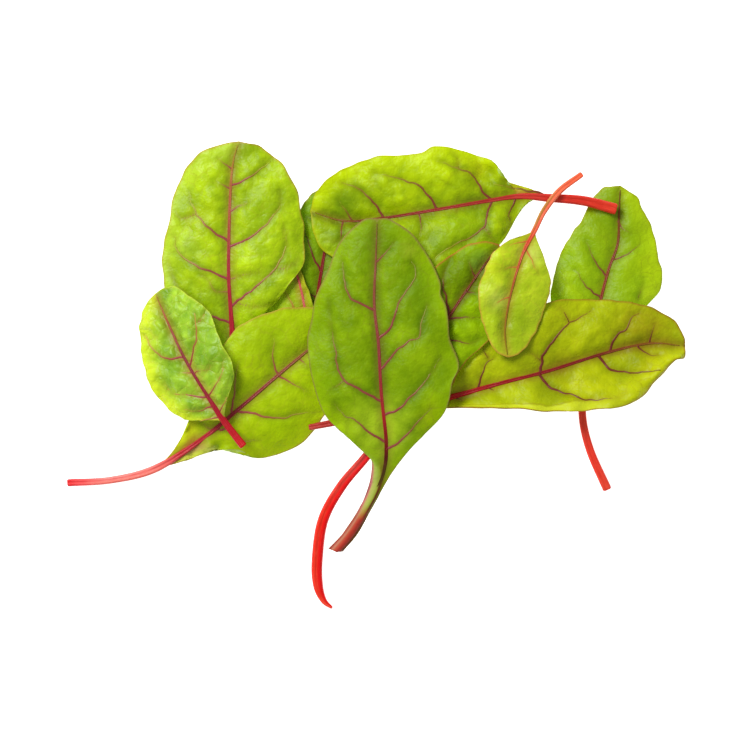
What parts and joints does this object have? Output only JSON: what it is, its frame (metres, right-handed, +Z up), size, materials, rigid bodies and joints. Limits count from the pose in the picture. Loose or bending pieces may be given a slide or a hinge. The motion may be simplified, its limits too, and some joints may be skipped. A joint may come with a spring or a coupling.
{
  "type": "swiss chard bunch",
  "caption": "Loose heap of young swiss chard leaves with green blades and red, pink and salmon stems, lying flat.",
  "frame": {"origin": "centre of the bunch's plan box, on the surface it lies on", "axes": "+X from the pink stem's cut end to the right leaf's tip, +Y towards the top left leaf's tip, +Z up"},
  "size_m": [0.2171, 0.1644, 0.0187],
  "materials": {
    "blade_lime": "satin leaf, yellow green",
    "blade_green": "satin leaf, mid green",
    "blade_olive": "satin leaf, olive green",
    "blade_deep": "satin leaf, deep green",
    "stem_red": "moist, bright red",
    "stem_crimson": "moist, deep red",
    "stem_pink": "moist, pink",
    "stem_salmon": "moist, salmon"
  },
  "bodies": {
    "root": {"right_back_blade": "blade_green", "right_back_stem": "stem_red", "back_blade": "blade_green", "back_stem": "stem_crimson", "back_small_blade": "blade_green", "back_small_stem": "stem_pink", "top_left_blade": "blade_lime", "top_left_stem": "stem_crimson", "top_blade": "blade_lime", "top_stem": "stem_crimson", "lower_left_blade": "blade_green", "lower_left_stem": "stem_pink", "right_blade": "blade_olive", "right_stem": "stem_crimson", "middle_blade": "blade_deep", "middle_stem": "stem_red", "centre_blade": "blade_deep", "centre_stem": "stem_crimson", "left_blade": "blade_lime", "left_stem": "stem_crimson", "small_blade": "blade_lime", "small_stem": "stem_salmon"}
  },
  "joints": []
}
